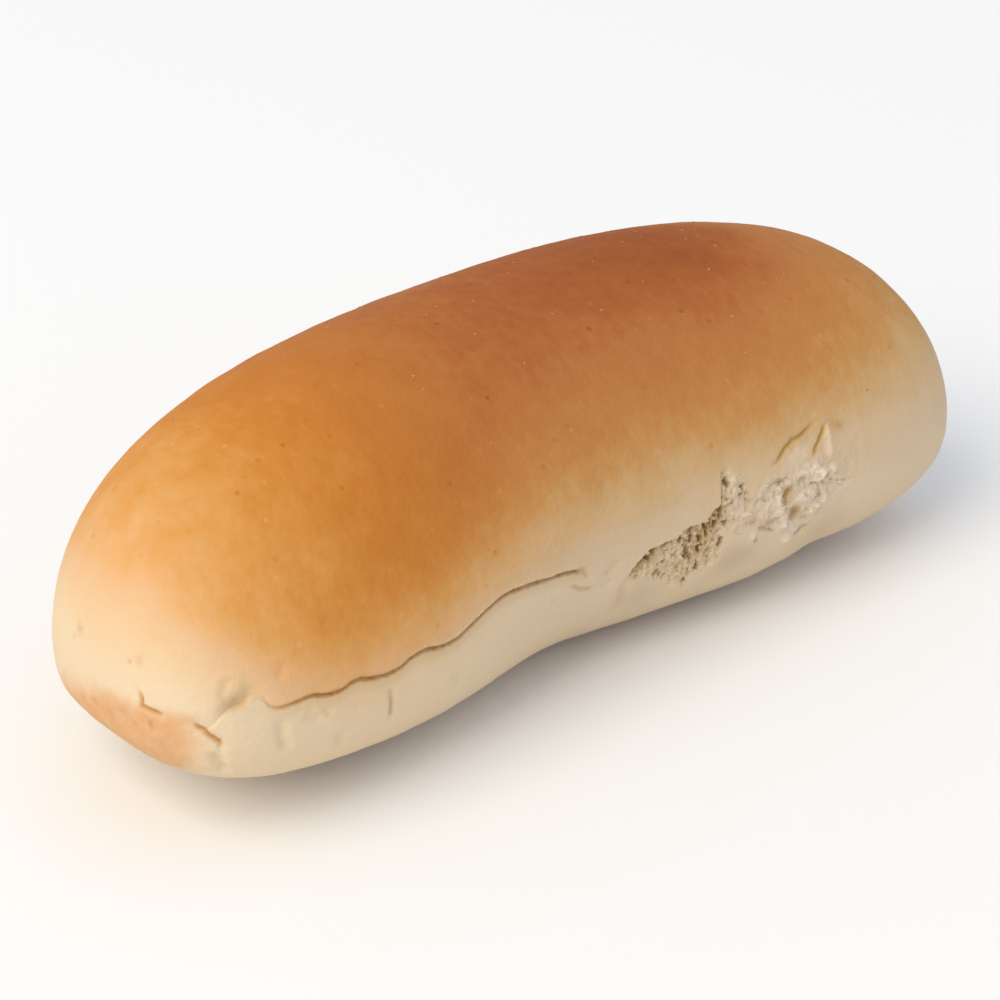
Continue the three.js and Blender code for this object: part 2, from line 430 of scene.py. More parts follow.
def line_gap(form, lines, roll, place):
    """How far places are from the nearest of some lines in the skin, and how deep that is there."""
    drawn = form.field("GeometryNodeObjectInfo", {"Object": lines}, output="Geometry")
    drawn = form.field("GeometryNodeResampleCurve", {"Curve": drawn, "Length": CREASE_STEP}, mode="LENGTH")
    along = form.field("GeometryNodeSplineParameter")
    taper = form.ramp(form.least(along, 1.0 - along), 0.0, CREASE_TAPER)
    depth = form.field("GeometryNodeInputRadius") * taper
    drawn = form.field("GeometryNodeSetCurveRadius", {"Curve": drawn, "Radius": depth})
    dots = form.field("GeometryNodeCurveToPoints", {"Curve": drawn}, mode="EVALUATED")
    at = form.position()
    dots = form.move(dots, form.drift(at, *CREASE_WANDER))
    dots = form.move(dots, form.field("GeometryNodeProximity", {0: roll}, target_element="FACES"))
    sockets = {"Geometry": dots, "Sample Position": place}
    nearest = form.field("GeometryNodeSampleNearest", sockets, domain="POINT")
    sample = {"Geometry": dots, "Index": nearest}
    dot = form.field("GeometryNodeSampleIndex", {**sample, "Value": at}, data_type="FLOAT_VECTOR")
    radius = form.field("GeometryNodeInputRadius")
    depth = form.field("GeometryNodeSampleIndex", {**sample, "Value": radius}, data_type="FLOAT")
    gap = form.field("ShaderNodeVectorMath", {0: place, 1: dot}, "Value", operation="DISTANCE")
    return gap, depth


def baked_skin(form, skin, creases, dents, size, roll):
    """Relief of a stretch of the roll's skin, which then keeps how far it is from split and creases."""
    place = form.position()
    x, y, z = form.parts(place)
    out = x * 2.0 / size["Length"]
    forward = size["Spine back"] - size["Bow"] * out * out - y
    front = form.ramp(forward, *FLANK)
    above = z - form.profile(x, FOLD_LINE) - form.ripple(place, *FOLD_WOBBLE)
    over = form.ramp(above, -STEP_HALF_WIDTH, STEP_HALF_WIDTH)
    lip = size["Lip"] * form.bell(above, 0.0, LIP_REACH)
    undercut = size["Undercut"] * form.bell(above, 0.0, UNDERCUT_REACH)
    step = (lip * over - undercut * (1.0 - over)) * form.within(x, FOLD_SPAN)
    flap = form.bell(x, FLAP["at"], FLAP["spread"])
    over_flap = form.ramp(above, -FLAP["edge"], FLAP["edge"])
    turned = FLAP["raised"] - over_flap * (FLAP["raised"] + FLAP["sunk"])
    turned = turned * form.bell(above, 0.0, FLAP["reach"])
    step = step + (turned - step) * flap
    crack = form.bell(above, CRACK_AT, size["Crack half width"]) * form.within(x, CRACK_SPAN)
    gap, depth = line_gap(form, creases, roll, place)
    dent_gap, dent_depth = line_gap(form, dents, roll, place)
    crease = form.bell(gap, 0.0, CREASE_HALF_WIDTH) * depth
    dent = form.bell(dent_gap, 0.0, DENT_HALF_WIDTH) * dent_depth
    hollow = z - BACK_CREASE["height"] - form.math("SINE", x / BACK_CREASE["wave"]) * BACK_CREASE["wobble"]
    hollow = form.bell(hollow, 0.0, BACK_CREASE["reach"]) * form.ramp(-forward, *FLANK)
    hollow = hollow * form.within(x, BACK_CREASE_SPAN) * BACK_CREASE["depth"]
    lumps = form.ripple(place, *UNEVEN) + form.ripple(place, *DIMPLES)
    relief = (step - crack * size["Crack depth"]) * front - crease - dent - hollow + lumps
    skin = form.keep(skin, "above_split", above + (1.0 - front) * FAR_OFF)
    skin = form.keep(skin, "crease_gap", gap)
    skin = form.keep(skin, "crease_depth", depth)
    return skin, relief * form.ramp(z, 0.0, TRAY_FADE)


def torn_inset(form, x, z):
    """How far inside the borders of the torn flank a point is."""
    along = form.least(x - TORN_ALONG[0], TORN_ALONG[1] - x)
    return form.least(along, form.least(z - TORN_UP[0], TORN_UP[1] - z))


loaf_form = Former("loaf")
size = {name: loaf_form.size(name, value) for name, value in SIZES.items()}
rows = loaf_form.size("Rows", ROWS, "NodeSocketInt")
stations = loaf_form.size("Stations", STATIONS, "NodeSocketInt")
crease_object = skin_lines("crease_lines", CREASES)
dent_object = skin_lines("dent_lines", DENTS)
creases = loaf_form.size("Creases", crease_object, "NodeSocketObject")
dents = loaf_form.size("Dents", dent_object, "NodeSocketObject")
roll = plain_roll(loaf_form, size, rows, stations)
skin, relief = baked_skin(loaf_form, roll, creases, dents, size, roll)
x, y, z = loaf_form.parts(loaf_form.position())
front = loaf_form.math("LESS_THAN", y, 0.0)
bed = loaf_form.ramp(torn_inset(loaf_form, x, z), *TORN_BED_FROM) * front * TORN_BED
skin = loaf_form.swell(skin, relief - bed)

# The skin's colour by how baked it is, from about 0 on the pale flanks to 1 and over on the crown.
# The near end is more golden than the rest, partly its own colour and partly painted warm light from the
# lamp on that side.
GOLDEN = [
    (0.03, (0.75, 0.585, 0.39)),
    (0.17, (0.74, 0.53, 0.315)),
    (0.32, (0.72, 0.445, 0.235)),
    (0.38, (0.72, 0.405, 0.18)),
    (0.45, (0.68, 0.346, 0.116)),
    (0.50, (0.66, 0.307, 0.083)),
    (0.58, (0.60, 0.239, 0.047)),
    (0.66, (0.55, 0.192, 0.028)),
    (0.80, (0.50, 0.155, 0.018)),
    (0.95, (0.42, 0.11, 0.008)),
    (1.10, (0.36, 0.085, 0.010)),
]
BROWN = [
    (0.05, (0.69, 0.54, 0.37)),
    (0.17, (0.66, 0.50, 0.33)),
    (0.28, (0.64, 0.465, 0.28)),
    (0.39, (0.60, 0.38, 0.18)),
    (0.50, (0.55, 0.285, 0.10)),
    (0.61, (0.515, 0.222, 0.07)),
    (0.72, (0.47, 0.187, 0.058)),
    (0.83, (0.44, 0.162, 0.051)),
    (0.95, (0.375, 0.117, 0.034)),
    (1.10, (0.30, 0.085, 0.025)),
]
# Baking grows with height. Along the roll it is raised by bells, or falls off: from, to, by how much
BAKED_UP = (15.0, 51.0)
BAKED_MORE = [(-48.0, 15.0, 6.2), (-30.0, 12.0, 2.8)]
NEAR_PALE = (58.0, 74.0, 9.0)
FAR_PALE = (32.0, 66.0, 4.5)
FAR_EVEN = (30.0, 60.0, 0.25)
FAR_EVEN_AT = 36.0
FAR_TOP = (38.0, 19.0, 4.2)
FAR_TOP_UP = (42.5, 51.0)
CROWN_ALONG = (-72.0, 5.0)
CROWN_LEAST = 0.4
CROWN_BLEND = 0.12
GOLDEN_ALONG = (-56.0, 4.0)
UNDER_SPLIT = (-0.2, 0.4)
UNDER_PALE = 0.16
# The near tip and the sole, which browned on the tray
TRAY_TAN = (0.66, 0.355, 0.165, 1.0)
TRAY_BROWN = (0.50, 0.25, 0.09, 1.0)
TRAY_BROWN_UP = (0.3, 1.6)
TIP_TAN_FROM = (69.2, 73.8)
TIP_TAN_UP = (20.4, 23.0)
TIP_TAN_SLOPE = 0.38
TIP_TAN_REACH = (14.4, 20.2)
TIP_TAN_SHARE = 0.85
TIP_TAN_UNEVEN = (2.0, 0.7)
# The brown in the split, partly the crust's own colour and partly painted shade in the groove: its colours,
# where it lies, and how rough and uneven it is
CRACK_BROWN = (0.41, 0.195, 0.028, 1.0)
CRACK_GOLDEN = (0.52, 0.25, 0.04, 1.0)
CRACK_GOLDEN_ALONG = (-56.0, -40.0)
CRACK_DEEP = (0.21, 0.085, 0.012, 1.0)
CRACK_DEEP_SIZE = 6.0
CRACK_DEEP_FROM = (0.0, 0.16)
CRACK_DEEP_SHARE = 0.7
CRACK_PAINT = (-0.16, 0.42)
CRACK_ROUGH = (0.7, 0.8)
CRACK_SHARE = 0.86
CRACK_UNEVEN = (5.0, 0.9)
# Bands along the split or over the flap: middle, spread, strength
OCHRE_BAND = (-1.2, 0.8, 0.4)
# The lip band is a painted highlight along the lip above the split.
LIP_HIGHLIGHT_BAND = (0.35, 0.3, 0.45)
# The pocket band and the span above the split hold painted shade in the hollow over the flap.
POCKET_BAND = (FLAP["at"], 2.0, 0.55)
POCKET_ABOVE = (-0.9, 0.5, 0.9, 3.2)
POCKET_PAINTED_SHADE = (0.47, 0.335, 0.185, 1.0)
CRACK_OCHRE = (0.60, 0.41, 0.21, 1.0)
# Stains in creases: what depth stays clear, how strong, how wide; the halo is wider and weaker
CREASE_GOLDEN = (0.56, 0.26, 0.07, 1.0)
CREASE_OCHRE = (0.51, 0.30, 0.095, 1.0)
CREASE_HALO = (1.0, 0.35)
CREASE_HALO_ALONG = (10.0, 25.0)
CREASE_STAIN = (0.3, 4.8, 0.37)
# The painted highlight on the lip: its colour, and where along the roll it grows
LIP_PAINTED_HIGHLIGHT = (0.80, 0.64, 0.44, 1.0)
LIP_HIGHLIGHT_ALONG = (-50.0, -28.0)
MARK_BROWN = (0.45, 0.22, 0.07, 1.0)
# Small brown marks in the skin: place, reach, strength
MARKS = [
    ((-74.1, -3.8, 27.2), 0.8, 0.35), ((-74.1, -2.1, 25.8), 0.6, 0.25), ((-74.1, -14.7, 27.7), 0.5, 0.4),
    ((-73.6, -16.5, 28.1), 0.7, 0.25), ((-75.0, -7.2, 18.3), 0.6, 0.4), ((-75.0, -10.3, 17.6), 0.8, 0.4),
    ((-74.9, -13.4, 19.6), 0.9, 0.2), ((-74.8, -15.9, 18.8), 0.6, 0.25), ((-74.2, -19.1, 19.8), 0.6, 0.6),
    ((-73.8, -20.5, 17.6), 1.6, 0.2), ((-61.2, -30.0, 16.5), 0.6, 0.25), ((-13.2, -29.1, 18.4), 0.4, 0.6),
    ((42.6, -31.0, 27.9), 1.1, 0.55), ((41.4, -30.9, 28.6), 0.7, 0.4), ((20.0, 31.2, 25.0), 0.6, 0.4),
    ((-22.0, 30.7, 27.0), 0.5, 0.35), ((-48.0, 24.9, 23.0), 0.7, 0.3),
]
# Mottles and dots in the crust: how far apart, how strong
MOTTLES = (8.0, 0.16)
FINE_MOTTLES = (2.0, 0.11, 0.18)
STREAKED = (1.15, 0.8, 0.8)
DOTS = (3.2, 0.3)
DOT_REACH = (0.03, 0.19)
DOT_PALE = 0.4
BROWNED = (0.2, 0.6)
# How far marks and the tan tip wander: over what length, by how much
WORN = (3.0, 3.0)
SKIN_ROUGHNESS = 0.6
SKIN_UNEVEN = (5.0, 0.2)
SKIN_SHINE = 0.03
PORES = 0.9
PORE_DEPTH = 0.12


class Finish(Graph):
    """A material under construction. Places in it are millimetres on the piece."""

    def __init__(self, name):
        self.material = bpy.data.materials.new(name)
        self.material.use_nodes = True
        super().__init__(self.material.node_tree)
        self.tree.nodes.clear()
        coordinates = self.field("ShaderNodeTexCoord", output="Object")
        self.place = self.vectors("MULTIPLY", coordinates, (1 / MM, 1 / MM, 1 / MM))

    def kept(self, name):
        return self.field("ShaderNodeAttribute", output="Fac", attribute_name=name)

    def colours(self, value, stops):
        start, stop = stops[0][0], stops[-1][0]
        made = self.node("ShaderNodeValToRGB", {0: (value - start) / (stop - start)})
        marks = made.color_ramp.elements
        while len(marks) < len(stops):
            marks.new(0.5)
        for mark, (at, colour) in zip(marks, stops):
            mark.position = (at - start) / (stop - start)
            mark.color = (*colour, 1.0)
        return Field(self, made.outputs[0])

    def mix(self, share, first, second):
        sockets = {0: share, 6: first, 7: second}
        return self.field("ShaderNodeMix", sockets, output=2, data_type="RGBA")

    def bump(self, height, reach):
        return self.field("ShaderNodeBump", {"Height": height, "Distance": reach * MM})

    def surface(self, **sockets):
        named = {name.replace("_", " "): value for name, value in sockets.items()}
        shader = self.field("ShaderNodeBsdfPrincipled", named)
        self.node("ShaderNodeOutputMaterial", {"Surface": shader})
        return self.material


def crust_colour(finish):
    """The skin's colour, from how baked it is there to the brown in its split and creases, with painted
    shade in the split and the flap's pocket, and a painted highlight on the lip.
    """
    x, y, z = finish.parts(finish.place)
    above = finish.kept("above_split")
    start, stop, fall = NEAR_PALE
    raised = finish.bumps(x, BAKED_MORE) - finish.ramp(-x, start, stop) * fall
    start, stop, fall = FAR_PALE
    raised = raised - finish.ramp(x, start, stop) * fall
    start, stop, share = FAR_EVEN
    raised = raised - (z - FAR_EVEN_AT) * finish.ramp(x, start, stop) * share
    raised = raised + finish.bumps(x, [FAR_TOP]) * finish.ramp(z, *FAR_TOP_UP)
    bake = (z + raised - BAKED_UP[0]) / (BAKED_UP[1] - BAKED_UP[0])
    under = finish.ramp(-above, *UNDER_SPLIT) * finish.within(x, FOLD_SPAN)
    bake = bake - under * finish.ramp(above, -FAR_OFF, 0.0) * UNDER_PALE
    fine_size, near_fine, far_fine = FINE_MOTTLES
    dot_gap, dot = DOTS
    distance, number = finish.cells(finish.place, dot_gap)
    dots = (1.0 - finish.ramp(distance, *DOT_REACH)) * (number - DOT_PALE)
    browned = finish.ramp(bake, *BROWNED)
    crown = (x - CROWN_ALONG[0]) / (CROWN_ALONG[1] - CROWN_ALONG[0]) * (1.0 - CROWN_LEAST) + CROWN_LEAST
    bake = finish.math("SMOOTH_MIN", bake, crown, CROWN_BLEND)
    bake = bake + finish.ripple(finish.place, *MOTTLES, detail=4.0)
    brown = finish.ramp(x, *GOLDEN_ALONG)
    streaked = finish.vectors("MULTIPLY", finish.place, STREAKED)
    fine = finish.noise(streaked, fine_size, detail=3.0) * (brown * (far_fine - near_fine) + near_fine)
    bake = bake + (fine + dots * dot) * browned
    # The golden near end holds partly painted warm light.
    colour = finish.mix(brown, finish.colours(bake, GOLDEN), finish.colours(bake, BROWN))

    worn = finish.drift(finish.place, *WORN, detail=3.0)
    worn_x, worn_y, worn_z = finish.parts(worn)
    tip = finish.ramp(-worn_x, *TIP_TAN_FROM) * (1.0 - finish.ramp(worn_z, *TIP_TAN_UP))
    tip = tip * (1.0 - finish.ramp(worn_z + worn_y * TIP_TAN_SLOPE, *TIP_TAN_REACH))
    tip = tip * (TIP_TAN_SHARE + finish.ripple(finish.place, *TIP_TAN_UNEVEN))
    colour = finish.mix(tip, colour, TRAY_TAN)
    colour = finish.mix(1.0 - finish.ramp(z, *TRAY_BROWN_UP), colour, TRAY_BROWN)
    for at, reach, strength in MARKS:
        gap = finish.field("ShaderNodeVectorMath", {0: worn, 1: at}, "Value", operation="DISTANCE")
        colour = finish.mix(finish.bell(gap, 0.0, reach) * strength, colour, MARK_BROWN)

    halo_reach, halo = CREASE_HALO
    clear, strength, reach = CREASE_STAIN
    gap = finish.kept("crease_gap")
    depth = finish.kept("crease_depth")
    stain = finish.bell(gap, 0.0, reach) * finish.most(depth - clear, 0.0) * strength
    stain = stain + finish.bell(gap, 0.0, halo_reach) * depth * finish.ramp(x, *CREASE_HALO_ALONG) * halo
    stained = finish.mix(brown, CREASE_GOLDEN, CREASE_OCHRE)
    colour = finish.mix(finish.least(stain, 1.0), colour, stained)
    along = finish.within(x, CRACK_SPAN)
    colour = finish.mix(finish.bumps(above, [OCHRE_BAND]) * along, colour, CRACK_OCHRE)
    # A painted highlight along the lip above the split.
    lip = finish.bumps(above, [LIP_HIGHLIGHT_BAND]) * along * finish.ramp(x, *LIP_HIGHLIGHT_ALONG)
    colour = finish.mix(lip, colour, LIP_PAINTED_HIGHLIGHT)
    # Painted shade in the pocket over the flap.
    pocket = finish.within(above, POCKET_ABOVE) * finish.bumps(x, [POCKET_BAND])
    colour = finish.mix(pocket, colour, POCKET_PAINTED_SHADE)
    # The split is painted dark brown, partly the crust's own colour and partly painted shade in the groove.
    crack_colour = finish.mix(finish.ramp(x, *CRACK_GOLDEN_ALONG), CRACK_GOLDEN, CRACK_BROWN)
    deep = finish.ramp(finish.noise(finish.place, CRACK_DEEP_SIZE, detail=3.0), *CRACK_DEEP_FROM)
    crack_colour = finish.mix(deep * CRACK_DEEP_SHARE, crack_colour, CRACK_DEEP)
    crack = finish.bell(above + finish.ripple(finish.place, *CRACK_ROUGH, detail=3.0), *CRACK_PAINT)
    uneven = CRACK_SHARE + finish.ripple(finish.place, *CRACK_UNEVEN, detail=3.0)
    return finish.mix(crack * along * uneven, colour, crack_colour)


crust = Finish("baked_crust")
baked_crust = crust.surface(
    Base_Color=crust_colour(crust),
    Roughness=SKIN_ROUGHNESS + crust.ripple(crust.place, *SKIN_UNEVEN),
    Specular_IOR_Level=SKIN_SHINE,
    Normal=crust.bump(crust.noise(crust.place, PORES, detail=3.0), PORE_DEPTH),
)

loaf = loaf_form.grow(skin, baked_crust)
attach(loaf, "root")
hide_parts("bun")

# The torn flank
# Bare white crumb where the neighbouring roll was pulled off, with the skin that frames it.
# A slab on the flank is roughened between two ragged borders: the near lobe into gas cells that
# were ripped open, the far lobe into frayed clumps.

TEAR_TOP = [
    (1.0, 14.8), (1.9, 15.8), (3.2, 17.5), (5.0, 18.9), (7.2, 19.6), (10.2, 19.6), (12.9, 20.4),
    (15.9, 20.6), (18.0, 21.7), (19.0, 22.2), (19.3, 24.2), (19.8, 26.3), (20.8, 27.4), (22.5, 25.9),
    (24.0, 24.7), (24.5, 22.4), (26.0, 22.9), (28.1, 23.7), (30.6, 24.0), (33.6, 23.7), (36.4, 24.2),
    (39.3, 23.6), (41.5, 21.5), (42.8, 19.3), (45.3, 18.3), (46.0, 17.0),
]
TEAR_FOOT = [
    (1.0, 15.6), (2.0, 15.2), (3.5, 15.2), (6.6, 13.5), (9.6, 12.0), (12.6, 10.9), (13.6, 9.5),
    (14.4, 11.3), (16.0, 11.5), (17.3, 11.7), (18.8, 12.7), (19.3, 14.7), (19.5, 17.1), (20.3, 17.7),
    (22.7, 16.8), (25.1, 16.8), (27.6, 15.9), (30.2, 14.0), (33.3, 11.1), (34.2, 12.8), (36.6, 13.9),
    (39.2, 14.8), (41.2, 16.5), (44.1, 17.1), (46.0, 18.6),
]
TEAR_SPAN = (0.6, 1.0, 45.5, 46.0)
FAR_LOBE = (20.0, 22.5)
# How far inside the borders the skin gives way to crumb, and how far wisps of it reach
TEAR_EDGE = (-0.3, 0.5)
FOOT_EDGE = (-0.5, 2.0)
SOFT_EDGE = (-0.8, 2.2)
WISP_SIZE = 2.4
TOP_WISPS = 0.7
SOFT_WISPS = 1.6
# Holes and gashes that the tear left: depth, then where each runs
GASHES = [
    (1.2, [(3.4, 17.0), (3.8, 17.4), (4.2, 17.7)]),
    (1.2, [(5.2, 18.3), (5.6, 17.8), (5.8, 17.1)]),
    (0.9, [(8.0, 19.2), (8.8, 19.3), (9.8, 19.2)]),
    (1.0, [(14.6, 18.8), (15.3, 18.1), (15.6, 17.3)]),
    (1.0, [(16.1, 19.9), (16.7, 19.3), (17.2, 18.7)]),
    (1.2, [(19.0, 20.9), (19.4, 21.3), (19.7, 21.8)]),
    (1.2, [(19.5, 18.8), (19.9, 19.2), (20.3, 19.6)]),
    (0.9, [(19.4, 17.3), (19.2, 16.2), (18.6, 15.3)]),
    (0.8, [(12.4, 16.6), (13.3, 15.8), (14.2, 14.9)]),
    (0.9, [(12.7, 11.5), (13.2, 10.7), (13.7, 9.9)]),
    (1.0, [(20.4, 26.5), (20.6, 25.4), (20.9, 24.3)]),
    (1.1, [(23.5, 24.9), (23.2, 23.6), (22.3, 22.4)]),
    (0.6, [(25.2, 16.7), (26.6, 16.2), (27.9, 15.7), (29.9, 14.3)]),
    (0.6, [(33.7, 12.2), (35.2, 13.3), (37.0, 13.6)]),
    (0.25, [(21.4, 17.6), (22.5, 16.7), (23.7, 15.6)]),
    (0.5, [(25.7, 15.1), (25.5, 14.4), (26.2, 14.0)]),
    (0.5, [(35.9, 20.5), (37.2, 20.0), (38.8, 19.1)]),
    (0.4, [(41.8, 19.4), (43.2, 18.5), (44.9, 18.6)]),
    (0.5, [(34.9, 15.3), (36.1, 14.9)]),
    (0.4, [(26.8, 20.6), (27.9, 20.2)]),
    (0.4, [(29.4, 21.6), (30.7, 22.0), (31.8, 21.8)]),
]
# Gashes are drawn on this plane, then dropped back onto the flank
FLANK_FRONT = -31.0
GASH_HALF_WIDTH = (0.14, 0.2)
GASH_DEPTH = 0.9
GASH_DRIFT = (0.9, 1.0)
GASH_FAINT = (23.5, 25.5, 0.3)
# Gas cells that lie open in the crumb: how wide, half a wall, how far the wall slopes
LARGE_CELLS = (0.9, 0.05, 0.22)
LARGE_DEPTH = 0.7
SMALL_CELLS = (0.55, 0.03, 0.14)
SMALL_DEPTH = 0.4
SMALL_PIT = 0.6
CELL_STRETCH = 0.6
OPEN_BLEND = (-0.05, 0.05)
# How many cells are open where the crumb is closed, and how many more in the dark stretches
LARGE_OPEN = (0.08, 0.62)
SMALL_OPEN = (0.2, 0.5)
# Those stretches: along, below the top border, spread both ways, strength
NEAR_DARK = (5.2, 0.9, 2.8, 1.6, 1.0)
FAR_DARK = (16.0, 1.8, 4.4, 3.2, 1.0)
# Unevenness of the crumb: how wide, how high
CRUMB_DRIFT = (1.6, 1.1)
GRAIN = (1.3, 0.7)
ROUGH_SIZE = 0.8
NEAR_ROUGH = 0.9
FAR_ROUGH = 0.6
LUMPS = (2.6, 1.5)
LUMPLETS = (1.0, 1.1)
SUNK = 0.25
SUNK_UNDER_TOP = (0.3, 1.8, 0.25)
# Clumps that stand out of the crumb: along, up, spread both ways, height
CLUMPS = [
    (38.9, 21.3, 1.3, 0.8, 0.8), (41.2, 21.2, 0.7, 0.7, 0.5), (35.5, 18.4, 1.7, 1.2, 0.5),
    (37.2, 16.2, 1.3, 0.8, 0.7), (27.3, 18.3, 1.6, 1.4, 0.4), (30.0, 19.4, 0.6, 1.8, 0.6),
    (31.0, 15.8, 0.8, 1.8, 0.6), (32.2, 12.6, 0.8, 1.2, 0.5), (24.0, 19.5, 1.3, 0.7, 0.5),
    (23.0, 18.1, 0.9, 0.6, 0.5), (35.0, 22.3, 1.2, 0.7, 0.4), (25.2, 15.0, 0.5, 0.9, 0.4),
    (40.5, 26.8, 0.5, 1.4, 0.4), (40.6, 24.4, 0.6, 1.3, 0.4), (22.0, 25.2, 0.6, 0.7, 0.3),
    (20.4, 22.8, 0.6, 0.8, 0.25),
]
HOLLOWS = [(32.2, 20.3, 0.95, 0.95, 1.2), (33.9, 16.2, 0.8, 1.0, 1.0), (28.6, 16.4, 1.0, 0.5, 0.4)]
# Skin that the pull puckered: along, up, spread both ways, height
PUCKERS = [(43.5, 20.5, 4.0, 5.0, 0.9), (36.0, 13.5, 6.0, 2.5, 0.8), (34.0, 26.5, 5.0, 2.0, 0.7)]
PUCKER_SIZE = 1.8
TEAR_RAGGED = (2.0, 1.4)
TEAR_FRAYED = (0.7, 0.6)
# The slab's points along and up, how they crowd in its middle, and how thick it is
TORN_COLUMNS = 270
TORN_ROWS = 165
COLUMN_CROWD = 0.2
ROW_CROWD_TORN = 0.45
TORN_THICKNESS = 7.0
ROLL_ROWS = 96
ROLL_STATIONS = 120
BORDER_SUNK = 0.05
SKIN_PROUD = 0.02
BORDER_BLEND = 3.0
# What gets painted shade, is painted paler or is covered in shreds: from which height on, and how much
LOW = (-0.08, 0.2)
LOW_SHADE = 0.7
NEAR_DARK_SHADE = 0.4
DARK_SHADE = 0.45
CREVICE = (0.05, 0.45)
CREVICE_SHADE = 0.75
SEAM_SHADE = (24.5, 3.0, 0.25)
HIGH = (0.04, 0.22)
HIGH_WHITE = 0.8
PALE = (0.0, 0.5)
PALE_ALONG = (24.0, 32.0)
PALE_WHITE = 0.8
LOOSE_DARK = 0.6
LOOSE_NEAR = 0.8

torn_form = Former("torn_flank")
gash_object = skin_lines("gash_lines", [
    (depth, [(x, FLANK_FRONT, z) for x, z in places]) for depth, places in GASHES
])
size = {name: torn_form.size(name, value) for name, value in SIZES.items()}
columns = torn_form.size("Columns", TORN_COLUMNS, "NodeSocketInt")
rows = torn_form.size("Rows", TORN_ROWS, "NodeSocketInt")
creases = torn_form.size("Creases", crease_object, "NodeSocketObject")
dents = torn_form.size("Dents", dent_object, "NodeSocketObject")
counts = {"Vertices X": columns, "Vertices Y": 2, "Vertices Z": rows}
sheet = torn_form.field("GeometryNodeMeshCube", counts)
along, inward, up = torn_form.parts(torn_form.position())
sheet = torn_form.keep(sheet, "outer", torn_form.math("LESS_THAN", inward, 0.0))


def crowded(form, share, crowd, ends):
    """Spreads shares from -0.5 to 0.5 between two ends, closer together in the middle."""
    share = share * (1.0 - crowd) + share * share * share * (4.0 * crowd)
    return share * (ends[1] - ends[0]) + (ends[0] + ends[1]) / 2


x = crowded(torn_form, along, COLUMN_CROWD, TORN_ALONG)
z = crowded(torn_form, up, ROW_CROWD_TORN, TORN_UP)
station = x * 2.0 / size["Length"]
flank = roll_point(torn_form, station, flank_angle(torn_form, station, z, size), size)
inside = torn_form.vector(0.0, (inward + 0.5) * TORN_THICKNESS, 0.0)
sheet = torn_form.move(sheet, torn_form.vectors("ADD", flank, inside))
whole = plain_roll(torn_form, size, ROLL_ROWS, ROLL_STATIONS)
gashes = torn_form.size("Gashes", gash_object, "NodeSocketObject")
sheet, skin_relief = baked_skin(torn_form, sheet, creases, dents, size, whole)

place = torn_form.position()
x, y, z = torn_form.parts(place)
flat = torn_form.vector(x, 0.0, z)
ragged = torn_form.drift(torn_form.drift(flat, *TEAR_RAGGED, detail=3.0), *TEAR_FRAYED)
ragged_x, _, ragged_z = torn_form.parts(ragged)
below_top = torn_form.profile(ragged_x, TEAR_TOP) - ragged_z
above_foot = ragged_z - torn_form.profile(ragged_x, TEAR_FOOT)
right = torn_form.ramp(x, *FAR_LOBE)
left = 1.0 - right
wisps = torn_form.noise(flat, WISP_SIZE, detail=4.0, roughness=0.65)
at_top = torn_form.ramp(below_top + wisps * TOP_WISPS, *TEAR_EDGE)
at_foot = torn_form.ramp(above_foot + wisps, *FOOT_EDGE)
frayed = torn_form.ramp(torn_form.least(below_top, above_foot) + wisps * SOFT_WISPS, *SOFT_EDGE)
torn = (at_top * at_foot * left + frayed * right) * torn_form.within(x, TEAR_SPAN)


def open_cells(form, place, cells, open_share):
    """Depth, from 0 to 1, in gas cells that lie open. The rest stay closed."""
    width, wall, slope = cells
    gap, number = form.pockets(place, width)
    return form.ramp(gap, wall, wall + slope) * (1.0 - form.ramp(number - open_share, *OPEN_BLEND))


crumb_place = torn_form.drift(flat, *CRUMB_DRIFT)
crumb_x, _, crumb_z = torn_form.parts(crumb_place)
upright = torn_form.vector(crumb_x, 0.0, crumb_z * CELL_STRETCH)
gap, gash_depth = line_gap(torn_form, gashes, whole, torn_form.drift(place, *GASH_DRIFT))
half_width = GASH_HALF_WIDTH[0] + gash_depth * GASH_HALF_WIDTH[1]
gash = torn_form.bell(gap, 0.0, half_width) * torn_form.ramp(gash_depth, 0.0, 1.0)
faint_from, faint_to, fall = GASH_FAINT
gash = gash * (1.0 - torn_form.ramp(x, faint_from, faint_to) * fall)
near_dark = torn_form.patches(x, below_top, [NEAR_DARK])
dark = torn_form.most(near_dark, torn_form.patches(x, below_top, [FAR_DARK])) * left
large_share = dark * LARGE_OPEN[1] + LARGE_OPEN[0]
large = open_cells(torn_form, upright, LARGE_CELLS, large_share) * left * torn
small_share = dark * SMALL_OPEN[1] + SMALL_OPEN[0]
small = open_cells(torn_form, upright, SMALL_CELLS, small_share) * left * torn
pit = torn_form.most(gash, torn_form.most(large, small * SMALL_PIT))
grain = torn_form.ripple(crumb_place, *GRAIN, detail=4.0, roughness=0.6)
rough = torn_form.noise(upright, ROUGH_SIZE, detail=3.0, roughness=0.7)
lumps = torn_form.ripple(crumb_place, *LUMPS, detail=1.0)
lumps = lumps + torn_form.ripple(crumb_place, *LUMPLETS, detail=3.0)
clumps = torn_form.patches(crumb_x, crumb_z, CLUMPS)
hollows = torn_form.patches(crumb_x, crumb_z, HOLLOWS)

